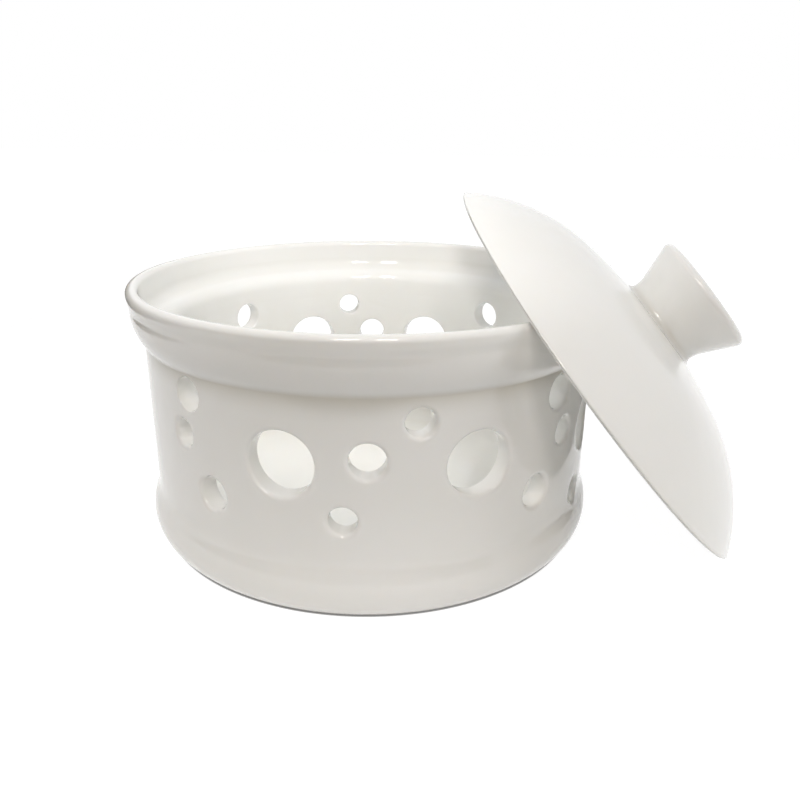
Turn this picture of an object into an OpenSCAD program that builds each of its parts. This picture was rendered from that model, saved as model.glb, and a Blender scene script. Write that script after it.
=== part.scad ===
// Onion storage jar: a pierced porcelain pot and a domed lid that leans on its rim.
// Millimetres. The pot stands on z = 0 with its axis on Z, and the lid leans towards +X.

/* [Jar wall] */
// Height of the pot to the top of its lip
jar_h = 106.5; // [95:0.5:130]
// Outside diameter of the straight wall
body_od = 189; // [150:1:230]
// Thickness of the straight wall
wall = 8; // [5.5:0.1:10]
// Thickness of the floor
floor_t = 6; // [4:0.5:9]
// Radius of the inside corner between floor and wall
floor_corner = 8; // [3:0.5:15]

/* [Foot] */
// How far the foot band stands out from the wall
foot_out = 3; // [1.5:0.1:5]
// How far the edge on the table lies inside the foot band's widest circle
foot_tuck = 5.3; // [3:0.1:8]
// Height of the foot band's widest circle
foot_mid = 11; // [8:0.5:15]
// Height over which the foot band eases into the wall
foot_ease = 14; // [9:0.5:20]
// Width of the ring that touches the table
ring_w = 7; // [4:0.5:12]
// Depth of the recess inside that ring
recess = 1.5; // [0.5:0.1:3]

/* [Rim and gallery] */
// Height of the rim band
rim_h = 22; // [19:0.5:28]
// How far the lip stands out from the wall
rim_out = 5.5; // [4:0.1:8]
// How far the lip stands out from the rim band below it
lip_out = 0.8; // [0.3:0.1:1.5]
// Thickness of the rounded lip
lip_t = 4.8; // [3.5:0.1:6]
// Height of the curved underside of the rim band
under_h = 13.5; // [9:0.5:15]
// Thickness of the rim, from its widest circle in to the gallery that takes the lid
rim_t = 5.5; // [4.8:0.1:7]
// Depth of the middle of the lid's ledge below the top of the lip
gallery_depth = 14.5; // [12.5:0.5:16]
// Height over which the gallery steps in to the wall, in one soft S
ledge_h = 13; // [10:0.5:15]

/* [Vents] */
// Diameter of the large vents
vent_large = 24.5; // [16:0.5:28]
// Diameter of the medium vents
vent_medium = 13; // [8:0.5:15]
// Diameter of the small vents
vent_small = 10.5; // [6:0.5:12]
// Turn of the vent pattern about the jar, in degrees from the front towards the lid
vent_turn = 12; // [-180:1:180]

/* [Lid] */
// Gap between the lid's edge and the gallery wall when the lid is on
lid_gap = 2.5; // [1.5:0.1:3.2]
// Thickness of the lid
lid_t = 4.5; // [3.5:0.1:6]
// Height of the lid's upright edge
lid_edge_h = 1; // [0.8:0.1:3]
// Rounding of the edge that sits on the ledge
lid_corner = 0.8; // [0.3:0.1:0.8]
// Slope of the dome where it meets the edge, in degrees
lid_slope = 47; // [38:1:55]
// Radius of the dome near its edge
shoulder_r = 88; // [60:1:100]
// Radius of the dome round the knob
crown_r = 233; // [180:1:400]

/* [Knob] */
// Diameter of the knob's flared top
knob_d = 50; // [40:0.5:60]
// Diameter of the knob's neck
neck_d = 37.5; // [25:0.5:42]
// Height of the knob above its seat on the dome
knob_h = 23; // [18:0.5:32]
// How far the neck spreads at its foot
neck_spread = 2; // [1:0.1:4]
// Height of the narrowest part of the neck above the seat
neck_h = 2.5; // [1.5:0.1:5]
// Radius of the hollow curve above the neck
neck_curve = 12; // [6:0.5:20]
// Rounding of the knob's top edge
knob_round = 2.5; // [1:0.1:4]

/* [Placing the lid] */
// Where the lid is shown
lid_place = "leaning"; // [leaning, seated]
// Lean of the lid away from flat, in degrees
lean = 50; // [42:1:60]
// Clearance between the lid and what it rests on
rest_gap = 0.3; // [0.1:0.1:1]

/* [Hidden] */
$fn = 96;

glaze_white = [0.93, 0.93, 0.91];
arc_steps = 8;
dome_steps = 16;
cut_past = 6;

body_r = body_od / 2;
inner_r = body_r - wall;
foot_r = body_r + foot_out;
table_r = foot_r - foot_tuck;
foot_top = foot_mid + foot_ease;
floor_z = recess + floor_t;
rim_r = body_r + rim_out;
band_r = rim_r - lip_out;
crease_z = jar_h - rim_h;
band_z = crease_z + under_h;
lip_r = lip_t / 2;
lip_mid_r = rim_r - lip_r;
lip_mid_z = jar_h - lip_r;
ledge_z = jar_h - gallery_depth;
gallery_r = rim_r - rim_t;

// Each vent: degrees from the front, share of the straight wall's height, diameter.
vents = [
    [-115, 0.49, vent_large],
    [-83, 0.55, vent_large],
    [-21.3, 0.565, vent_large],
    [21.7, 0.545, vent_large],
    [65, 0.49, vent_large],
    [97, 0.55, vent_large],
    [158.3, 0.51, vent_large],
    [199.9, 0.515, vent_large],
    [-135, 0.81, vent_medium],
    [-100, 0.26, vent_medium],
    [-45.5, 0.87, vent_medium],
    [-39.6, 0.26, vent_medium],
    [-2.7, 0.615, vent_medium],
    [38.5, 0.24, vent_medium],
    [45.3, 0.85, vent_medium],
    [80, 0.26, vent_medium],
    [134.5, 0.81, vent_medium],
    [140.5, 0.24, vent_medium],
    [177.9, 0.565, vent_medium],
    [218.5, 0.22, vent_medium],
    [-131, 0.53, vent_small],
    [-121, 0.05, vent_small],
    [-101, 0.84, vent_small],
    [-48.4, 0.6, vent_small],
    [-8, 0.235, vent_small],
    [8.2, 0.84, vent_small],
    [48.4, 0.57, vent_small],
    [59, 0.03, vent_small],
    [79, 0.84, vent_small],
    [132, 0.56, vent_small],
    [172, 0.2, vent_small],
    [186.1, 0.82, vent_small]
];

lid_r = gallery_r - lid_gap;
shoulder_c = [lid_r - shoulder_r * sin(lid_slope), lid_edge_h - shoulder_r * cos(lid_slope)];
crown_z = shoulder_c[1] - sqrt(pow(crown_r - shoulder_r, 2) - pow(shoulder_c[0], 2));
crown_slope = asin(shoulder_c[0] / (crown_r - shoulder_r));
neck_r = neck_d / 2;
knob_foot_r = neck_r + neck_spread;
seat_slope = asin(knob_foot_r / crown_r);
seat_z = crown_z + crown_r * cos(seat_slope);
lid_inner_r = shoulder_c[0] + sqrt(pow(shoulder_r - lid_t, 2) - pow(shoulder_c[1], 2));
lid_inner_slope = asin((lid_inner_r - shoulder_c[0]) / (shoulder_r - lid_t));

// Points of an arc about c, from angle a to angle b.
function arc(c, r, a, b, steps = arc_steps) =
    [for (i = [0:steps]) let (t = a + (b - a) * i / steps) c + r * [cos(t), sin(t)]];

// Points of an arc from p to q that runs straight up at q and bulges away from the axis.
function swell(p, q) =
    let (d = q - p, r = d * d / (2 * d[0]), a = asin(d[1] / r))
    arc([q[0] - r, q[1]], r, -a, 0);

// Points of an S curve from p up to q that runs straight up at both ends.
function ease(p, q) =
    let (d = q - p, turn = 2 * atan(abs(d[0]) / d[1]), r = d[1] / sin(turn) / 2, side = sign(d[0]))
    concat(
        [for (i = [0:arc_steps]) let (t = turn * i / arc_steps) p + r * [side * (1 - cos(t)), sin(t)]],
        [for (i = [arc_steps - 1:-1:0]) let (t = turn * i / arc_steps) q - r * [side * (1 - cos(t)), sin(t)]]
    );

// The ledge, from the top of the wall's inside up to the gallery.
ledge = ease([inner_r, ledge_z - ledge_h / 2], [gallery_r, ledge_z + ledge_h / 2]);

// Half section of the pot, from the middle of its underside out and up to the lip and back down inside.
jar_outline = concat(
    [[0, recess], [table_r - ring_w, recess], [table_r - ring_w, 0]],
    swell([table_r, 0], [foot_r, foot_mid]),
    ease([foot_r, foot_mid], [body_r, foot_top]),
    swell([body_r, crease_z], [band_r, band_z]),
    ease([band_r, band_z], [rim_r, lip_mid_z]),
    arc([lip_mid_r, lip_mid_z], lip_r, 0, 180),
    [for (i = [len(ledge) - 1:-1:0]) ledge[i]],
    arc([inner_r - floor_corner, floor_z + floor_corner], floor_corner, 0, -90),
    [[0, floor_z]]
);

// Hollow side of the lid, from its axis out to its rim.
lid_inside = concat(
    arc([0, crown_z], crown_r - lid_t, 90, 90 - crown_slope, dome_steps),
    arc(shoulder_c, shoulder_r - lid_t, 90 - crown_slope, 90 - lid_inner_slope, dome_steps)
);

// Half section of the lid, its rim on z = 0, cut flat on top where the knob is stuck on.
lid_outline = concat(
    lid_inside,
    arc([lid_r - lid_corner, lid_corner], lid_corner, -90, 0),
    arc(shoulder_c, shoulder_r, 90 - lid_slope, 90 - crown_slope, dome_steps),
    arc([0, crown_z], crown_r, 90 - crown_slope, 90 - seat_slope, dome_steps),
    [[0, seat_z]]
);

// The knob's side runs straight between the hollow curve over its neck and its rounded top edge.
neck_z = seat_z + neck_h;
knob_top = seat_z + knob_h;
hollow_c = [neck_r + neck_curve, neck_z];
edge_c = [knob_d / 2 - knob_round, knob_top - knob_round];
apart = hollow_c - edge_c;
flare = asin((neck_curve + knob_round) / norm(apart)) - atan2(apart[0], -apart[1]);
spread_r = (neck_spread * neck_spread + neck_h * neck_h) / (2 * neck_spread);
spread_turn = asin(neck_h / spread_r);

knob_outline = concat(
    [[0, seat_z]],
    arc([neck_r + spread_r, neck_z], spread_r, 180 + spread_turn, 180),
    arc(hollow_c, neck_curve, 180, 180 - flare),
    arc(edge_c, knob_round, -flare, 90),
    [[0, knob_top]]
);

// The lid leans with its edge on the table and the lip inside its hollow, so the two touch on either side.
lean_z = max([for (p = lid_outline) p[0] * sin(lean) - p[1] * cos(lean)]);
lean_far = rim_r + lid_r;
lean_step = lid_t / 2;
halvings = 16;
lip_step = 1.5;

// Distance from point p to the line between a and b.
function line_gap(p, a, b) =
    let (d = b - a, t = max(0, min(1, (p - a) * d / (d * d)))) norm(p - a - t * d);

// Radius and height, as the leaning lid sees them, of the lip's core circle at angle t from +X.
function in_lid(t, x) =
    let (
        p = [lip_mid_r * cos(t) - x, lip_mid_r * sin(t), lip_mid_z - lean_z],
        h = p[0] * sin(lean) + p[2] * cos(lean)
    )
    [sqrt(max(0, p * p - h * h)), h];

lid_hollow = concat(lid_inside, [[lid_r - lid_corner, 0]]);

// Least gap between the lip and the hollow of a lid whose rim centre stands at x.
function lean_gap(x) = min([
    for (t = [0:lip_step:90])
        let (p = in_lid(t, x))
        min([for (i = [1:len(lid_hollow) - 1]) line_gap(p, lid_hollow[i - 1], lid_hollow[i])]) - lip_r
]);

// Steps the lid in from x, where it is clear, to the last place before it would touch the lip.
function lean_clear(x) =
    x < lean_step || lean_gap(x - lean_step) < rest_gap ? x : lean_clear(x - lean_step);

// Halves the range from near, where the lid is too close, to far, where it is clear, until they meet.
function lean_stop(near, far, left) =
    let (mid = (near + far) / 2)
    left == 0 ? far
    : lean_gap(mid) < rest_gap ? lean_stop(mid, far, left - 1)
    : lean_stop(near, mid, left - 1);

lean_last = lean_clear(lean_far);
lean_x = lean_stop(lean_last - lean_step, lean_last, halvings);

// Where the lid is on, its edge stands on the ledge at the height where the ledge has the edge's radius.
seated_z = lookup(lid_r, ledge) + rest_gap;

module place_lid() {
    if (lid_place == "leaning")
        translate([lean_x, 0, lean_z]) rotate([0, lean, 0]) children();
    else
        translate([0, 0, seated_z]) children();
}

module vent(angle, share, d) {
    height = foot_top + share * (crease_z - foot_top);
    rotate([0, 0, angle + vent_turn])
        translate([0, cut_past - inner_r, height])
            rotate([90, 0, 0])
                cylinder(h = wall + 2 * cut_past, d = d);
}

module jar_body() {
    color(glaze_white)
        difference() {
            rotate_extrude() polygon(jar_outline);
            for (v = vents)
                vent(v[0], v[1], v[2]);
        }
}

module lid() {
    color(glaze_white) place_lid() rotate_extrude() polygon(lid_outline);
}

module lid_knob() {
    color(glaze_white) place_lid() rotate_extrude() polygon(knob_outline);
}

jar_body();
lid();
lid_knob();
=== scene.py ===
import math

import bmesh
import bpy
from mathutils import Matrix, Vector


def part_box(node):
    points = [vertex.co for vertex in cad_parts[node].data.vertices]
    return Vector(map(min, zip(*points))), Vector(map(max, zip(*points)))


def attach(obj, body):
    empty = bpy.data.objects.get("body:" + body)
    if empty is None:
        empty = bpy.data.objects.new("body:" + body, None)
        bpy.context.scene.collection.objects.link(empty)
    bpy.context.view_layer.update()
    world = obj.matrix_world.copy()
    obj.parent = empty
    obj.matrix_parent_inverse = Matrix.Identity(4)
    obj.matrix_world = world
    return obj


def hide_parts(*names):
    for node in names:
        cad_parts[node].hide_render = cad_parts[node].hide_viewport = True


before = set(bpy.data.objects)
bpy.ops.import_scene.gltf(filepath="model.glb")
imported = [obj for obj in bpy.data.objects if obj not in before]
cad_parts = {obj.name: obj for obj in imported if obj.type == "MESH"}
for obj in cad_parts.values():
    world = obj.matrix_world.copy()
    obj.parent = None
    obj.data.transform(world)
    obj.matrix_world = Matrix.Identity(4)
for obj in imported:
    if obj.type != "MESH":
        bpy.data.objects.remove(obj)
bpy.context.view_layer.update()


# Jar: one slip-cast porcelain pot with a rolled lip, a stepped gallery for the lid and a swelling foot.
# The vents are punched through the leather-hard wall and sponged round, then everything but the
# ring it stands on is dipped in clear glaze, which runs thin over edges and pools in the creases.
# The pooled glaze colour is darker than pooled clear glaze would be: it is partly painted shade in the
# creases and hollows.
jar_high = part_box("jar_body")[1]
jar_h = jar_high.z
rim_r = jar_high.x
body_r = rim_r - 0.0055
wall = 0.008
inner_r = body_r - wall
columns = 240

foot_r = body_r + 0.003
foot_mid = 0.011
foot_ease = 0.014
foot_top = foot_mid + foot_ease
foot_waist = foot_mid + foot_ease / 2
table_r = foot_r - 0.0053
ring_in_r = table_r - 0.007
recess_z = 0.0015
ring_bare_h = 0.0004
floor_z = recess_z + 0.006
floor_corner = 0.008

crease_z = jar_h - 0.022
crease_r = 0.002
band_r = rim_r - 0.0008
band_z = crease_z + 0.0135
lip_r = 0.0024
lip_z = jar_h - lip_r
gallery_r = rim_r - 0.0055
ledge_h = 0.013
ledge_top = jar_h - 0.0145 + ledge_h / 2
ledge_foot = ledge_top - ledge_h

# Vents: degrees from the front towards the lid, share of the straight wall's height, radius.
vent_turn = 12
vent_round_out = 0.0018
vent_round_in = 0.0008
large, medium, small = 0.01225, 0.0065, 0.00525
vents = [
    (-115, 0.49, large), (-83, 0.55, large), (-21.3, 0.565, large), (21.7, 0.545, large),
    (65, 0.49, large), (97, 0.55, large), (158.3, 0.51, large), (199.9, 0.515, large),
    (-135, 0.81, medium), (-100, 0.26, medium), (-45.5, 0.87, medium), (-39.6, 0.26, medium),
    (-2.7, 0.615, medium), (38.5, 0.24, medium), (45.3, 0.85, medium), (80, 0.26, medium),
    (134.5, 0.81, medium), (140.5, 0.24, medium), (177.9, 0.565, medium), (218.5, 0.22, medium),
    (-131, 0.53, small), (-121, 0.05, small), (-101, 0.84, small), (-48.4, 0.6, small),
    (-8, 0.235, small), (8.2, 0.84, small), (48.4, 0.57, small), (59, 0.03, small),
    (79, 0.84, small), (132, 0.56, small), (172, 0.2, small), (186.1, 0.82, small),
]


def line(bm, start, r, z):
    """Draws a straight stretch of a half section from start to (r, z)."""
    end = bmesh.ops.extrude_vert_indiv(bm, verts=[start])["verts"][0]
    end.co = (r, 0, z)
    return end


def turn(bm, start, centre, degrees, steps=8):
    """Draws an arc of a half section from start, clockwise about centre for positive degrees."""
    swept = bmesh.ops.spin(bm, geom=[start], cent=(centre[0], 0, centre[1]), axis=(0, 1, 0),
                           angle=math.radians(degrees), steps=steps, use_merge=False)
    return [g for g in swept["geom_last"] if isinstance(g, bmesh.types.BMVert)][0]


def throw(bm, steps):
    """Spins every half section drawn so far once round the Z axis, as on a wheel."""
    bmesh.ops.spin(bm, geom=bm.verts[:] + bm.edges[:], cent=(0, 0, 0), axis=(0, 0, 1),
                   angle=math.tau, steps=steps, use_merge=True)
    bmesh.ops.remove_doubles(bm, verts=bm.verts[:], dist=1e-6)


def soften(bm, r, z, width, segments=3):
    """Rounds the sharp ring at radius r and height z."""
    near = 2e-5
    ring = [e for e in bm.edges if all(
        abs(math.hypot(v.co.x, v.co.y) - r) < near and abs(v.co.z - z) < near for v in e.verts)]
    bmesh.ops.bevel(bm, geom=ring, offset=width, segments=segments, profile=0.5,
                    affect="EDGES", material=-1)


def glaze_and_hollow_shade(bm):
    """Stores how thick the glaze lies: below 0 on rounded edges, above 0 in hollows, where the darker
    pooled colour is partly painted shade.
    """
    full_pool = 400
    thickness_and_shade = bm.verts.layers.float.new("glaze_and_hollow_shade")
    for v in bm.verts:
        bend = sum(e.calc_face_angle_signed(0) for e in v.link_edges)
        reach = sum(e.calc_length() for e in v.link_edges)
        v[thickness_and_shade] = max(-1, min(1, -2 * bend / reach / full_pool))
    for _ in range(4):
        evened = [(v[thickness_and_shade] + sum(e.other_vert(v)[thickness_and_shade] for e in v.link_edges))
                  / (1 + len(v.link_edges)) for v in bm.verts]
        for v, value in zip(bm.verts, evened):
            v[thickness_and_shade] = value


def pool_and_shade(bm, r, z, above, below):
    """Lets the glaze gather round the ring at radius r and height z, thinning out above and below it;
    its darker colour there is partly painted shade.
    """
    thickness_and_shade = bm.verts.layers.float["glaze_and_hollow_shade"]
    for v in bm.verts:
        away = (v.co.z - z) / above if v.co.z > z else (z - v.co.z) / below
        if away < 1 and math.hypot(v.co.x, v.co.y) > r - 0.001:
            v[thickness_and_shade] = max(v[thickness_and_shade], (1 - away) ** 2)


def clean(bm):
    """Closes the seams and turns all faces outwards."""
    bmesh.ops.remove_doubles(bm, verts=bm.verts[:], dist=1e-6)
    bmesh.ops.recalc_face_normals(bm, faces=bm.faces[:])
    glaze_and_hollow_shade(bm)


def piece(name, bm, *materials):
    """Turns a finished bmesh into a smooth-shaded object at the origin."""
    for f in bm.faces:
        f.smooth = True
    mesh = bpy.data.meshes.new(name)
    bm.to_mesh(mesh)
    bm.free()
    for m in materials:
        mesh.materials.append(m)
    obj = bpy.data.objects.new(name, mesh)
    bpy.context.scene.collection.objects.link(obj)
    return obj


def link(material, out_node, out_socket, in_node, in_socket):
    material.node_tree.links.new(out_node.outputs[out_socket], in_node.inputs[in_socket])


def noise(material, coords, scale, detail):
    node = material.node_tree.nodes.new("ShaderNodeTexNoise")
    node.inputs["Scale"].default_value = scale
    node.inputs["Detail"].default_value = detail
    link(material, coords, "Object", node, "Vector")
    return node


def ramp(material, source, socket, stops):
    """A colour ramp on a node's output; stops are (position, colour)."""
    node = material.node_tree.nodes.new("ShaderNodeValToRGB")
    first, last = node.color_ramp.elements
    first.position, last.position = stops[0][0], stops[-1][0]
    for position, _ in stops[1:-1]:
        node.color_ramp.elements.new(position)
    for element, (_, colour) in zip(node.color_ramp.elements, stops):
        element.color = (*colour, 1)
    link(material, source, socket, node, "Fac")
    return node


def spread(material, source, socket, low, high, from_low=0.3, from_high=0.7):
    node = material.node_tree.nodes.new("ShaderNodeMapRange")
    for name, value in (("From Min", from_low), ("From Max", from_high),
                        ("To Min", low), ("To Max", high)):
        node.inputs[name].default_value = value
    link(material, source, socket, node, "Value")
    return node


# The pooled colour below is partly painted shade for creases and hollows, darker than pooled clear glaze
# alone.
glaze_thin = (0.94, 0.935, 0.92)
glaze_even = (0.93, 0.93, 0.91)
glaze_pooled_and_shaded = (0.72, 0.70, 0.64)

porcelain = bpy.data.materials.new("glazed_porcelain")
porcelain.use_nodes = True
glaze_shader = porcelain.node_tree.nodes["Principled BSDF"]
glaze_shader.inputs["IOR"].default_value = 1.52
glaze_shader.inputs["Subsurface Weight"].default_value = 0.12
glaze_shader.inputs["Subsurface Radius"].default_value = (1.0, 0.85, 0.7)
glaze_shader.inputs["Subsurface Scale"].default_value = 0.002
glaze_place = porcelain.node_tree.nodes.new("ShaderNodeTexCoord")
glaze_and_shade_value = porcelain.node_tree.nodes.new("ShaderNodeAttribute")
glaze_and_shade_value.attribute_name = "glaze_and_hollow_shade"
# Hollows darken towards the pooled colour: partly glaze pooling, partly painted shade.
glaze_and_shade_share = spread(porcelain, glaze_and_shade_value, "Fac", 0, 1, -1, 1)
glaze_and_shade_colour = ramp(porcelain, glaze_and_shade_share, "Result",
                    [(0.0, glaze_thin), (0.5, glaze_even), (1.0, glaze_pooled_and_shaded)])
clouds = noise(porcelain, glaze_place, 28, 3)
cloud_tint = ramp(porcelain, clouds, "Fac", [(0.3, (0.985, 0.985, 0.975)), (0.7, (1, 1, 1))])
tinted = porcelain.node_tree.nodes.new("ShaderNodeMix")
tinted.data_type = "RGBA"
tinted.blend_type = "MULTIPLY"
tinted.inputs["Factor"].default_value = 1
porcelain.node_tree.links.new(glaze_and_shade_colour.outputs["Color"], tinted.inputs["A"])
porcelain.node_tree.links.new(cloud_tint.outputs["Color"], tinted.inputs["B"])
porcelain.node_tree.links.new(tinted.outputs["Result"], glaze_shader.inputs["Base Color"])
gloss = spread(porcelain, noise(porcelain, glaze_place, 60, 4), "Fac", 0.05, 0.1)
link(porcelain, gloss, "Result", glaze_shader, "Roughness")
ripple = porcelain.node_tree.nodes.new("ShaderNodeBump")
ripple.inputs["Strength"].default_value = 0.25
ripple.inputs["Distance"].default_value = 0.0001
link(porcelain, noise(porcelain, glaze_place, 90, 2), "Fac", ripple, "Height")
link(porcelain, ripple, "Normal", glaze_shader, "Normal")

bisque = bpy.data.materials.new("unglazed_porcelain")
bisque.use_nodes = True
bisque_shader = bisque.node_tree.nodes["Principled BSDF"]
bisque_shader.inputs["Roughness"].default_value = 0.85
bisque_place = bisque.node_tree.nodes.new("ShaderNodeTexCoord")
grain = noise(bisque, bisque_place, 900, 6)
bisque_colour = ramp(bisque, grain, "Fac", [(0.3, (0.76, 0.73, 0.68)), (0.7, (0.83, 0.80, 0.75))])
link(bisque, bisque_colour, "Color", bisque_shader, "Base Color")
grit = bisque.node_tree.nodes.new("ShaderNodeBump")
grit.inputs["Strength"].default_value = 0.4
grit.inputs["Distance"].default_value = 0.0001
link(bisque, grain, "Fac", grit, "Height")
link(bisque, grit, "Normal", bisque_shader, "Normal")


def s_curve(width, height):
    """Turn in degrees and radius of the two equal arcs that make an S of this width and height."""
    angle = 2 * math.atan(width / height)
    return math.degrees(angle), height / math.sin(angle) / 2


def bulge(width, height):
    """Turn in degrees and radius of an arc that ends upright and covers this width and height."""
    radius = (width ** 2 + height ** 2) / (2 * width)
    return math.degrees(math.asin(height / radius)), radius


jar = bmesh.new()

# Underside, foot ring and the lower half of the foot's S, from the axis outwards.
ease_turn, ease_r = s_curve(foot_r - body_r, foot_ease)
swell_turn, swell_r = bulge(foot_r - table_r, foot_mid)
v = jar.verts.new((0, 0, recess_z))
v = line(jar, v, ring_in_r, recess_z)
v = line(jar, v, ring_in_r, 0)
v = line(jar, v, table_r, 0)
v = turn(jar, v, (foot_r - swell_r, foot_mid), -swell_turn, 14)
v = turn(jar, v, (foot_r - ease_r, foot_mid), -ease_turn, 8)

# Rim: the swelling underside, the cove under the lip, the lip, and the gallery inside it.
under_r = bulge(band_r - body_r, band_z - crease_z)[1]
under_turn = math.acos(1 - (band_r - body_r) / (under_r + crease_r))
wall_top = band_z - (under_r + crease_r) * math.sin(under_turn)
under_turn = math.degrees(under_turn)
cove_turn, cove_r = s_curve(rim_r - band_r, lip_z - band_z)
step_turn, step_r = s_curve(gallery_r - inner_r, ledge_h)
v = jar.verts.new((body_r, 0, wall_top))
v = turn(jar, v, (body_r + crease_r, wall_top), under_turn, 6)
v = turn(jar, v, (band_r - under_r, band_z), -under_turn, 14)
v = turn(jar, v, (band_r + cove_r, band_z), cove_turn, 6)
v = turn(jar, v, (rim_r - cove_r, lip_z), -cove_turn, 6)
v = turn(jar, v, (rim_r - lip_r, lip_z), -180, 20)
v = line(jar, v, gallery_r, ledge_top)
v = turn(jar, v, (gallery_r - step_r, ledge_top), step_turn, 12)
v = turn(jar, v, (inner_r + step_r, ledge_foot), -step_turn, 12)

# Floor, from the foot of the wall to the axis.
v = jar.verts.new((inner_r, 0, floor_z + floor_corner))
v = turn(jar, v, (inner_r - floor_corner, floor_z + floor_corner), 90, 12)
v = line(jar, v, 0, floor_z)
throw(jar, columns)

# Pierced wall, laid out flat: angle times body_r along X, distance from the axis along Y.
# Its seam stands where no vent crosses it.
seam = 126
flat = bmesh.new()
for degrees, share, radius in vents:
    facing = (degrees + vent_turn - seam) % 360 + seam
    height = foot_top + share * (crease_z - foot_top)
    edge = min(vent_round_out, wall_top - height - radius - 0.0001)
    eyelet = bmesh.new()
    v = eyelet.verts.new((radius + edge, 0, 0))
    v = turn(eyelet, v, (radius + edge, edge), 90, 7)
    v = line(eyelet, v, radius, wall / 2)
    v = line(eyelet, v, radius, wall - vent_round_in)
    v = turn(eyelet, v, (radius + vent_round_in, wall - vent_round_in), 90, 5)
    throw(eyelet, 2 * round(21 + radius * 1000))
    for v in eyelet.verts:
        across, up, deep = v.co
        r = body_r - deep
        angle = math.radians(facing) + math.asin(across / r)
        v.co = (body_r * angle, r, height + up)
    punched = bpy.data.meshes.new("eyelet")
    eyelet.to_mesh(punched)
    eyelet.free()
    flat.from_mesh(punched)
    bpy.data.meshes.remove(punched)

# Its two faces are filled round the eyelets and cut into the same columns as the spun parts.
left = body_r * math.radians(seam)
right = left + body_r * math.tau
foot_cuts = 8
# These rings just under the rim band carry the painted shade along the crease.
pool_and_shade_cuts = 0.001, 0.002, 0.0035, 0.0055, 0.008


def cut_sheet(faces, at, normal):
    """Cuts these faces of the flat wall by a plane and gives all that is left of them."""
    parts = faces + list({e for f in faces for e in f.edges}) + list({v for f in faces for v in f.verts})
    cut = bmesh.ops.bisect_plane(flat, geom=parts, dist=1e-7, plane_co=at, plane_no=normal)
    return [g for g in cut["geom"] if isinstance(g, bmesh.types.BMFace)]


for r, bottom, top in ((body_r, foot_waist, wall_top),
                       (inner_r, floor_z + floor_corner, ledge_foot)):
    rings = [e for e in flat.edges if e.is_boundary and all(abs(v.co.y - r) < 1e-6 for v in e.verts)]
    corners = [flat.verts.new((x, r, z))
               for x, z in ((left, bottom), (right, bottom), (right, top), (left, top))]
    border = [flat.edges.new((corners[i - 1], corners[i])) for i in range(4)]
    filled = bmesh.ops.triangle_fill(flat, use_beauty=True, edges=rings + border)
    sheet = [g for g in filled["geom"] if isinstance(g, bmesh.types.BMFace)]
    if r == body_r:
        for i in range(1, foot_cuts + 1):
            height = foot_waist + (foot_top - foot_waist) * i / foot_cuts
            sheet = cut_sheet(sheet, (0, 0, height), (0, 0, 1))
        for below in pool_and_shade_cuts:
            sheet = cut_sheet(sheet, (0, 0, wall_top - below), (0, 0, 1))
    for i in range(1, columns):
        x = left + (right - left) * i / columns
        sheet = [f for f in cut_sheet(sheet, (x, 0, 0), (1, 0, 0))
                 if any(v.co.x > x + 1e-6 for v in f.verts)]

# Wrapped round the axis, with the upper half of the foot's S drawn out of its bottom edge.
for v in flat.verts:
    angle, r, z = v.co.x / body_r, v.co.y, v.co.z
    if z < foot_top:
        r += (ease_r - math.sqrt(ease_r ** 2 - (foot_top - z) ** 2)) * (r - inner_r) / wall
    v.co = (r * math.sin(angle), -r * math.cos(angle), z)
wrapped = bpy.data.meshes.new("wall")
flat.to_mesh(wrapped)
flat.free()
jar.from_mesh(wrapped)
bpy.data.meshes.remove(wrapped)
bmesh.ops.remove_doubles(jar, verts=jar.verts[:], dist=2e-6)

soften(jar, table_r, 0, 0.0006)
soften(jar, ring_in_r, 0, 0.0005)
soften(jar, ring_in_r, recess_z, 0.0005)
for f in jar.faces:
    if all(v.co.z < ring_bare_h for v in f.verts):
        f.material_index = 1
clean(jar)
# Painted shade, along with some pooled glaze, darkens the crease under the rim band.
pool_and_shade(jar, body_r, wall_top + 0.0005, above=0.003, below=0.009)

jar_piece = piece("jar", jar, porcelain, bisque)
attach(jar_piece, "jar")
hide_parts("jar_body")


# Lid: a jiggered porcelain dome, steeper towards its edge, with a flat ring round its hollow that
# sits on the gallery. That ring is wiped clean of glaze before firing. Here the lid is off and
# leans on the jar, its edge on the table.
lid_r = gallery_r - 0.0025
lid_t = 0.0045
lid_edge_h = 0.001
lid_corner = 0.0008
lid_bare_h = 0.0002
lid_slope = math.radians(47)
shoulder_r = 0.088
crown_r = 0.233
lean = math.radians(50)

shoulder_x = lid_r - shoulder_r * math.sin(lid_slope)
shoulder_z = lid_edge_h - shoulder_r * math.cos(lid_slope)
crown_slope = math.asin(shoulder_x / (crown_r - shoulder_r))
crown_z = shoulder_z - (crown_r - shoulder_r) * math.cos(crown_slope)
hollow_slope = math.acos(-shoulder_z / (shoulder_r - lid_t))
hollow_r = shoulder_x + (shoulder_r - lid_t) * math.sin(hollow_slope)
neck_r = 0.01875
knob_foot_r = neck_r + 0.002
seat_slope = math.asin(knob_foot_r / crown_r)
seat_z = crown_z + crown_r * math.cos(seat_slope)

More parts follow.
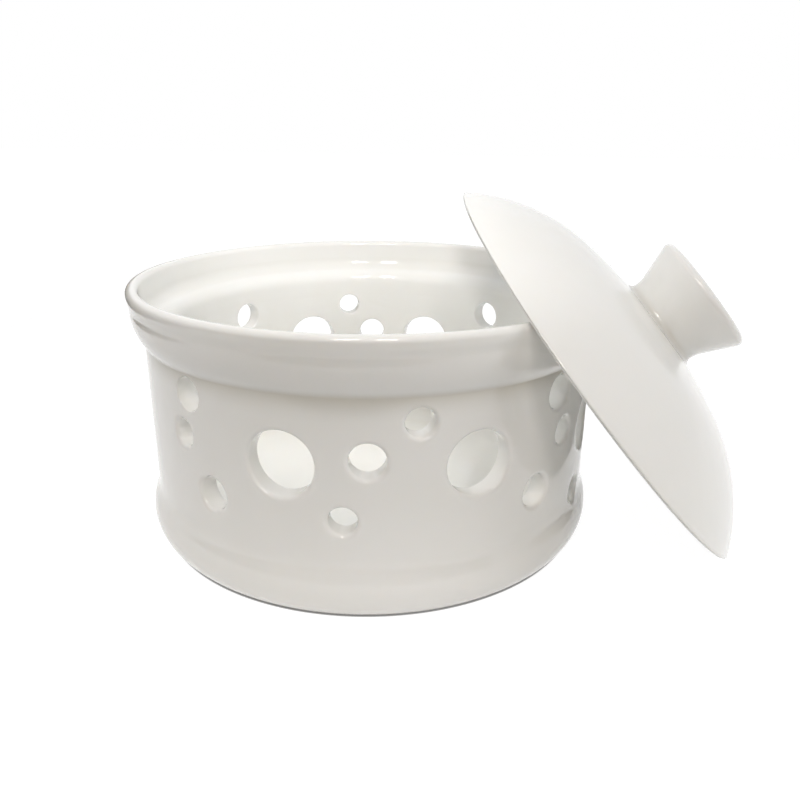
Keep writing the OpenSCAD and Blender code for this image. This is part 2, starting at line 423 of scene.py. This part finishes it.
lid = bmesh.new()
v = lid.verts.new((0, 0, crown_z + crown_r - lid_t))
v = turn(lid, v, (0, crown_z), math.degrees(crown_slope), 14)
v = turn(lid, v, (shoulder_x, shoulder_z), math.degrees(hollow_slope - crown_slope), 30)
v = line(lid, v, lid_r - lid_corner, 0)
v = turn(lid, v, (lid_r - lid_corner, lid_corner), -90, 6)
v = line(lid, v, lid_r, lid_edge_h)
v = turn(lid, v, (shoulder_x, shoulder_z), math.degrees(crown_slope - lid_slope), 32)
v = turn(lid, v, (0, crown_z), math.degrees(seat_slope - crown_slope), 10)
v = line(lid, v, 0, seat_z)
throw(lid, columns)
soften(lid, hollow_r, 0, 0.0006)
soften(lid, lid_r, lid_edge_h, 0.0005)
for f in lid.faces:
    if all(v.co.z < lid_bare_h for v in f.verts):
        f.material_index = 1

# The lean brings the rounded edge down onto the table and its top out to the end of the CAD lid.
lid_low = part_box("lid")[0]
edge_r = lid_r - lid_corner
lean_x = lid_low.x + edge_r * math.cos(lean) - lid_corner * math.sin(lean) + lid_corner
lean_z = lid_low.z + edge_r * math.sin(lean) - lid_corner * math.cos(lean) + lid_corner
leaning = Matrix.Translation((lean_x, 0, lean_z)) @ Matrix.Rotation(lean, 4, "Y")
lid.transform(leaning)
clean(lid)

lid_piece = piece("lid", lid, porcelain, bisque)
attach(lid_piece, "lid")
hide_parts("lid")


# Knob: cast by itself with a narrow neck and a flared flat top, stuck to the dome with slip
# and glazed together with it, so that the glaze fills the joint.
knob_r = 0.025
knob_h = 0.023
neck_h = 0.0025
neck_curve = 0.012
knob_round = 0.0025
knob_columns = 160
neck_z = seat_z + neck_h
spread_turn, spread_r = bulge(knob_foot_r - neck_r, neck_h)
edge_x, edge_z = knob_r - knob_round, seat_z + knob_h - knob_round
apart = Vector((neck_r + neck_curve - edge_x, edge_z - neck_z))
flare = math.asin((neck_curve + knob_round) / apart.length) - math.atan2(apart.x, apart.y)

knob = bmesh.new()
v = knob.verts.new((0, 0, seat_z))
v = line(knob, v, knob_foot_r, seat_z)
v = turn(knob, v, (neck_r + spread_r, neck_z), spread_turn, 8)
v = turn(knob, v, (neck_r + neck_curve, neck_z), math.degrees(flare), 8)
v = line(knob, v, edge_x + knob_round * math.cos(flare), edge_z - knob_round * math.sin(flare))
v = turn(knob, v, (edge_x, edge_z), -90 - math.degrees(flare), 12)
v = line(knob, v, 0, seat_z + knob_h)
throw(knob, knob_columns)
knob.transform(leaning)
clean(knob)

knob_piece = piece("knob", knob, porcelain)
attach(knob_piece, "lid")
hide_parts("lid_knob")


# Studio: the jar stands on white paper in a plain white room. Soft boxes stand to the right, in front,
# to the left and low behind, a weak one hangs overhead, and two low beige boards keep the white of
# the room off the glaze in front and to the left, so that the rim shows its form.
def seen_directly(tree):
    """1 for camera, glossy and transmission rays, which show the white background, and 0 for light."""
    path = tree.nodes.new("ShaderNodeLightPath")
    shown = path.outputs["Is Camera Ray"]
    for kind in ("Is Glossy Ray", "Is Transmission Ray"):
        either = tree.nodes.new("ShaderNodeMath")
        either.operation = "MAXIMUM"
        tree.links.new(shown, either.inputs[0])
        tree.links.new(path.outputs[kind], either.inputs[1])
        shown = either.outputs["Value"]
    return shown


def stage_piece(name, corners, material):
    bm = bmesh.new()
    bm.faces.new([bm.verts.new(c) for c in corners])
    mesh = bpy.data.meshes.new(name)
    bm.to_mesh(mesh)
    bm.free()
    mesh.materials.append(material)
    obj = bpy.data.objects.new(name, mesh)
    bpy.context.scene.collection.objects.link(obj)
    return obj


paper = bpy.data.materials.new("white_paper")
paper.use_nodes = True
tree = paper.node_tree
tree.nodes.remove(tree.nodes["Principled BSDF"])
lit = tree.nodes.new("ShaderNodeBsdfDiffuse")
lit.inputs["Color"].default_value = (0.95, 0.95, 0.95, 1)
shade = tree.nodes.new("ShaderNodeBsdfDiffuse")
shade.inputs["Color"].default_value = (0.2, 0.2, 0.2, 1)
contact = tree.nodes.new("ShaderNodeAmbientOcclusion")
contact.inputs["Distance"].default_value = 0.0012
contact_shadow = spread(paper, contact, "AO", 0.15, 0.95, 0.35, 0.65)
glow = tree.nodes.new("ShaderNodeEmission")
tree.links.new(contact_shadow.outputs["Result"], glow.inputs["Strength"])
shown = tree.nodes.new("ShaderNodeAddShader")
tree.links.new(shade.outputs["BSDF"], shown.inputs[0])
tree.links.new(glow.outputs["Emission"], shown.inputs[1])
paper_mix = tree.nodes.new("ShaderNodeMixShader")
tree.links.new(seen_directly(tree), paper_mix.inputs["Fac"])
tree.links.new(lit.outputs["BSDF"], paper_mix.inputs[1])
tree.links.new(shown.outputs["Shader"], paper_mix.inputs[2])
tree.links.new(paper_mix.outputs["Shader"], tree.nodes["Material Output"].inputs["Surface"])
paper_end = 4
stage_piece("floor", ((-paper_end, -paper_end, 0), (paper_end, -paper_end, 0),
                      (paper_end, paper_end, 0), (-paper_end, paper_end, 0)), paper)

board = bpy.data.materials.new("beige_board")
board.use_nodes = True
board_shader = board.node_tree.nodes["Principled BSDF"]
board_shader.inputs["Base Color"].default_value = (0.17, 0.145, 0.11, 1)
board_shader.inputs["Roughness"].default_value = 0.9
board_left, board_front, board_end = -0.36, -0.29, 0.6
front_h, left_h = 0.165, 0.2
for name, corners in (
        ("board_front", ((board_left, board_front, 0), (board_end, board_front, 0),
                         (board_end, board_front, front_h), (board_left, board_front, front_h))),
        ("board_left", ((board_left, board_end, 0), (board_left, board_front, 0),
                        (board_left, board_front, left_h), (board_left, board_end, left_h)))):
    flag = stage_piece(name, corners, board)
    flag.visible_camera = False

# Each soft box of the sky: where it hangs, half its width in degrees, strength.
soft_boxes = [
    ((0, 0, 1), 30, 0.55),
    ((1, 0, 0.8), 25, 2.3),
    ((-1, 0, 0.8), 25, 2.3),
    ((0, 1, 0.35), 25, 1.35),
]
soft_edge = 5
world = bpy.data.worlds.new("studio")
bpy.context.scene.world = world
world.use_nodes = True
tree = world.node_tree
white = tree.nodes["Background"]
white.inputs["Color"].default_value = (1, 1, 1, 1)
white.inputs["Strength"].default_value = 1
sky = tree.nodes.new("ShaderNodeTexCoord")
light = None
for towards, half_width, strength in soft_boxes:
    facing = tree.nodes.new("ShaderNodeVectorMath")
    facing.operation = "DOT_PRODUCT"
    facing.inputs[1].default_value = Vector(towards).normalized()
    tree.links.new(sky.outputs["Generated"], facing.inputs[0])
    fade = tree.nodes.new("ShaderNodeMapRange")
    fade.interpolation_type = "SMOOTHSTEP"
    fade.inputs["From Min"].default_value = math.cos(math.radians(half_width + soft_edge))
    fade.inputs["From Max"].default_value = math.cos(math.radians(half_width - soft_edge))
    fade.inputs["To Max"].default_value = strength
    tree.links.new(facing.outputs["Value"], fade.inputs["Value"])
    soft_box = tree.nodes.new("ShaderNodeBackground")
    tree.links.new(fade.outputs["Result"], soft_box.inputs["Strength"])
    both = soft_box.outputs["Background"]
    if light:
        sum_up = tree.nodes.new("ShaderNodeAddShader")
        tree.links.new(light, sum_up.inputs[0])
        tree.links.new(both, sum_up.inputs[1])
        both = sum_up.outputs["Shader"]
    light = both
world_mix = tree.nodes.new("ShaderNodeMixShader")
tree.links.new(seen_directly(tree), world_mix.inputs["Fac"])
tree.links.new(light, world_mix.inputs[1])
tree.links.new(white.outputs["Background"], world_mix.inputs[2])
tree.links.new(world_mix.outputs["Shader"], tree.nodes["World Output"].inputs["Surface"])

# The two front boxes are lamps, because the lip and the ledge show them as pairs of small lights.
for name, place in (("front_box_left", (-0.03, -0.72, 0.78)), ("front_box_right", (0.235, -0.72, 0.78))):
    lamp = bpy.data.lights.new(name, "AREA")
    lamp.shape = "RECTANGLE"
    lamp.size, lamp.size_y = 0.14, 0.3
    lamp.energy = 1.9
    lamp.color = (1, 0.94, 0.88)
    front_box = bpy.data.objects.new(name, lamp)
    aim = (Vector((0, 0, 0.06)) - Vector(place)).to_track_quat("-Z", "Y")
    front_box.matrix_world = Matrix.Translation(place) @ aim.to_matrix().to_4x4()
    bpy.context.scene.collection.objects.link(front_box)

# Two spots light the inside of the jar: one over the front board, which keeps it off the wall
# outside, and one straight down through the mouth.
for name, energy, cone, place, target in (
        ("spot_over_board", 8, 14.5, (0.12, -0.75, 0.285), (-0.03, 0.06, 0.09)),
        ("spot_into_mouth", 19, 7.5, (-0.025, 0, 1.2), (-0.025, 0, 0))):
    lamp = bpy.data.lights.new(name, "SPOT")
    lamp.energy = energy
    lamp.spot_size = math.radians(cone)
    lamp.spot_blend = 0.5
    lamp.shadow_soft_size = 0.04
    spot = bpy.data.objects.new(name, lamp)
    spot.visible_glossy = False
    aim = (Vector(target) - Vector(place)).to_track_quat("-Z", "Y")
    spot.matrix_world = Matrix.Translation(place) @ aim.to_matrix().to_4x4()
    bpy.context.scene.collection.objects.link(spot)


# Camera: the photograph's own, found from the ellipses of rim, foot and lid.
camera = bpy.data.objects.new("camera", bpy.data.cameras.new("camera"))
camera.data.lens = 33.9
camera.data.sensor_width = 36
camera.matrix_world = (Matrix.Translation((0.0569, -0.3166, 0.1676))
                       @ Matrix.Rotation(math.radians(7.88), 4, "Z")
                       @ Matrix.Rotation(math.radians(90 - 20.21), 4, "X")
                       @ Matrix.Rotation(math.radians(0.59), 4, "Z"))
bpy.context.scene.collection.objects.link(camera)
bpy.context.scene.camera = camera

bpy.context.scene.view_settings.view_transform = "Standard"
